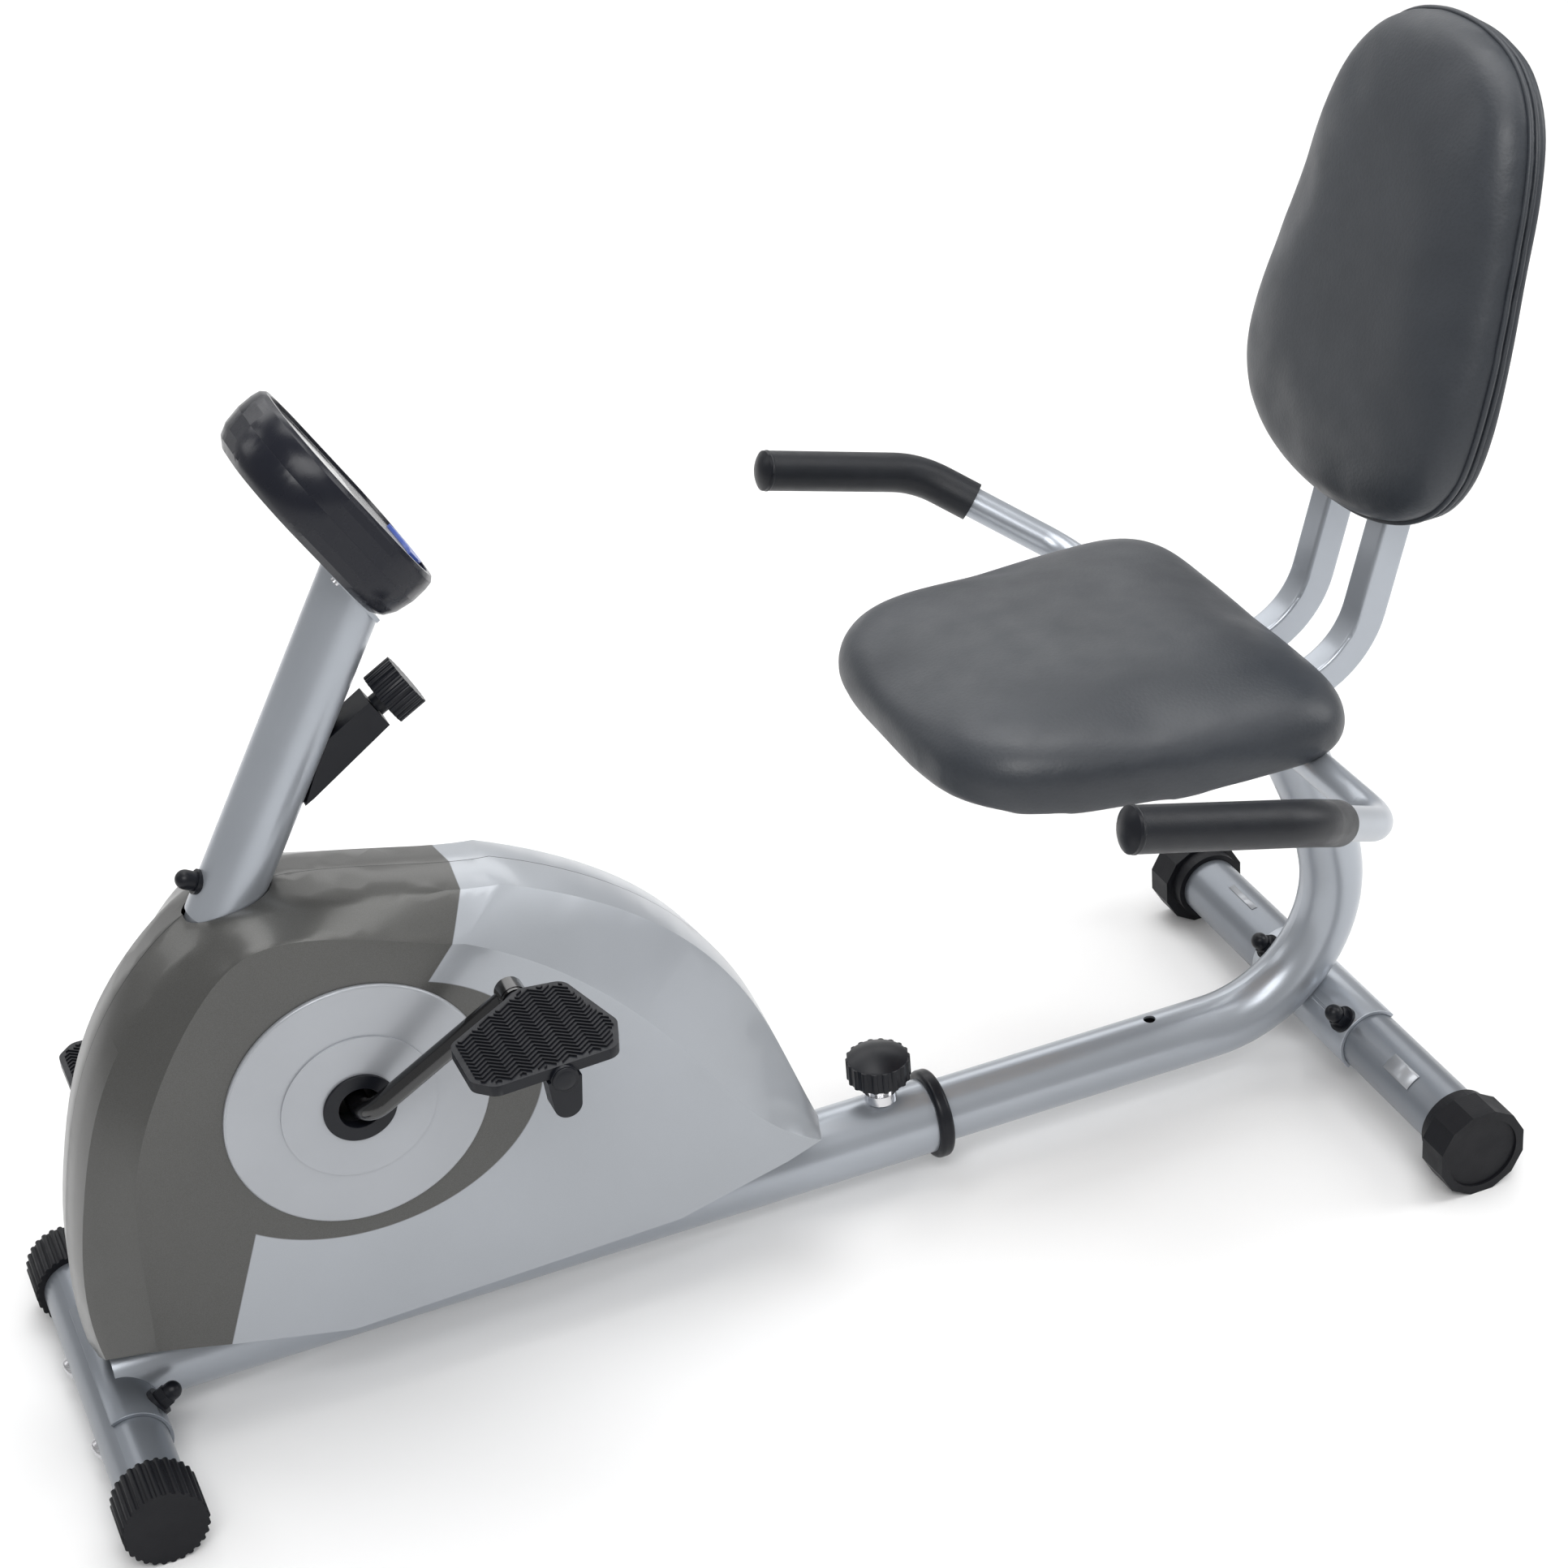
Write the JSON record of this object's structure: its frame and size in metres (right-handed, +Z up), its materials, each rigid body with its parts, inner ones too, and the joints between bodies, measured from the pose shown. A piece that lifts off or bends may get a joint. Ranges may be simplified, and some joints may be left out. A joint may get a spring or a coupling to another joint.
{
  "type": "recumbent exercise bike",
  "caption": "Recumbent exercise bike with a belt-driven magnetic flywheel, sliding seat frame, padded seat and backrest, side handlebars and a small console on a raked post.",
  "frame": {"origin": "middle of the bounding box, on the floor", "axes": "+X towards the rear stabiliser and the backrest, +Y to the rider's right, +Z up"},
  "size_m": [1.1784, 0.6688, 0.8536],
  "materials": {
    "frame_silver": "satin silver-grey lacquer",
    "stabiliser_grey": "satin mid grey lacquer",
    "black_steel": "satin black lacquer",
    "shroud_plastic": "moulded, silver and brown-grey sprayed",
    "disc_silver": "satin silver sprayed plastic",
    "black_plastic": "fine grained black moulding",
    "black_rubber": "matt moulded rubber",
    "grip_foam": "fine-celled foam",
    "vinyl": "grained dark grey vinyl over foam",
    "board": "raw plywood",
    "steel": "machined",
    "zinc": "bright zinc plated",
    "chrome": "polished chrome plate",
    "cast_iron": "turned rim, grey cast web",
    "belt_rubber": "ribbed poly-V belt",
    "lens": "clear window",
    "display": "blank grey-green panel",
    "circuit": "green laminate",
    "magnet": "nickel plated ferrite",
    "button_blue": "satin blue moulding",
    "console_plastic": "satin dark grey moulding",
    "white_plastic": "natural nylon"
  },
  "bodies": {
    "front_frame": {"front_stabilizer_tube": "stabiliser_grey", "front_end_caps": "black_rubber", "front_saddle": "stabiliser_grey", "front_carriage_bolts": "zinc", "front_dome_nuts": "black_plastic", "beam_sleeve": "frame_silver", "slide_bushings": "black_plastic", "post_stub_tube": "frame_silver", "crank_tower": "frame_silver", "bottom_bracket_bearings": "steel", "console_post": "frame_silver", "shroud_left": "shroud_plastic", "shroud_right": "shroud_plastic", "shroud_screws": "zinc", "disc_covers": "disc_silver", "crank_rings": "black_plastic", "drive_brackets": "black_steel", "axles_and_pins": "steel", "drive_belt": "belt_rubber", "tension_cable": "black_plastic", "console_screws": "zinc", "console_back_shell": "console_plastic", "console_front_shell": "console_plastic", "console_lens": "lens", "display_panel": "display", "circuit_board": "circuit", "tension_bracket": "black_plastic", "pin_ferrule": "chrome", "flywheel_bearings": "steel"},
    "crank": {"crank_rod": "black_steel", "pedal_spindles": "black_steel", "drive_pulley": "white_plastic"},
    "pedal_left_body": {"pedal_left": "black_plastic"},
    "pedal_right_body": {"pedal_right": "black_plastic"},
    "flywheel_body": {"flywheel": "cast_iron", "flywheel_pulley": "steel"},
    "idler": {"idler_wheel": "white_plastic"},
    "magnet_arm": {"magnet_carriage": "zinc", "brake_magnets": "magnet"},
    "tension_dial": {"tension_knob": "black_plastic"},
    "seat_pin": {"pin_plunger": "chrome", "pin_knob": "black_plastic", "pin_spring": "zinc"},
    "console_button": {"mode_button": "button_blue"},
    "rear_frame": {"rear_frame_tube": "frame_silver", "rear_saddle": "frame_silver", "rear_stabilizer_tube": "stabiliser_grey", "rear_carriage_bolts": "zinc", "rear_dome_nuts": "black_plastic", "handlebar": "frame_silver", "handlebar_grips": "grip_foam", "grip_plugs": "black_plastic", "seat_back_frame": "frame_silver", "seat_board": "board", "seat_pad": "vinyl", "backrest_board": "board", "backrest_pad": "vinyl", "pad_bolts": "zinc"},
    "foot_left": {"levelling_cap_left": "black_rubber"},
    "foot_right": {"levelling_cap_right": "black_rubber"}
  },
  "joints": [
    {"name": "crank_spin", "type": "hinge", "parent": "front_frame", "child": "crank", "pos_m": [-0.35469, 0, 0.261], "axis": [0, 1, 0], "continuous": true},
    {"name": "pedal_left_spin", "type": "hinge", "parent": "crank", "child": "pedal_left_body", "pos_m": [-0.24385, -0.165, 0.34153], "axis": [0, 1, 0], "continuous": true},
    {"name": "pedal_right_spin", "type": "hinge", "parent": "crank", "child": "pedal_right_body", "pos_m": [-0.46552, 0.165, 0.18047], "axis": [0, 1, 0], "continuous": true},
    {"name": "flywheel_spin", "type": "hinge", "parent": "front_frame", "child": "flywheel_body", "pos_m": [-0.16569, 0, 0.18], "axis": [0, 1, 0], "continuous": true},
    {"name": "idler_spin", "type": "hinge", "parent": "front_frame", "child": "idler", "pos_m": [-0.25769, 0.047, 0.1294], "axis": [0, 1, 0], "continuous": true},
    {"name": "tension_dial_turn", "type": "hinge", "parent": "front_frame", "child": "tension_dial", "pos_m": [-0.28469, 0, 0.5315], "axis": [0.866, 0, 0.5], "range_deg": [0, 300]},
    {"name": "magnet_swing", "type": "hinge", "parent": "front_frame", "child": "magnet_arm", "pos_m": [-0.18369, -0.015, 0.284], "axis": [0, -1, 0], "range_deg": [0, 8]},
    {"name": "seat_slide", "type": "slide", "parent": "front_frame", "child": "rear_frame", "axis": [1, 0, 0], "range_m": [0, 0.15]},
    {"name": "seat_pin_pull", "type": "slide", "parent": "front_frame", "child": "seat_pin", "axis": [0, 0, 1], "range_m": [0, 0.009], "stiffness_N_per_m": 900, "springref_m": -0.004, "deforming": ["pin_spring"]},
    {"name": "mode_button_press", "type": "slide", "parent": "front_frame", "child": "console_button", "axis": [-0.8572, 0, -0.515], "range_m": [0, 0.0015], "stiffness_N_per_m": 500, "springref_m": -0.0005},
    {"name": "foot_left_turn", "type": "hinge", "parent": "rear_frame", "child": "foot_left", "pos_m": [0.46791, -0.216, 0.04], "axis": [0, 1, 0], "range_deg": [-180, 180]},
    {"name": "foot_right_turn", "type": "hinge", "parent": "rear_frame", "child": "foot_right", "pos_m": [0.46791, 0.216, 0.04], "axis": [0, 1, 0], "range_deg": [-180, 180]}
  ],
  "couplings": [
    {"joint": "flywheel_spin", "follows": "crank_spin", "ratio": 4.7917},
    {"joint": "idler_spin", "follows": "crank_spin", "ratio": -7.1875},
    {"joint": "magnet_swing", "follows": "tension_dial_turn", "ratio": 0.026667}
  ]
}
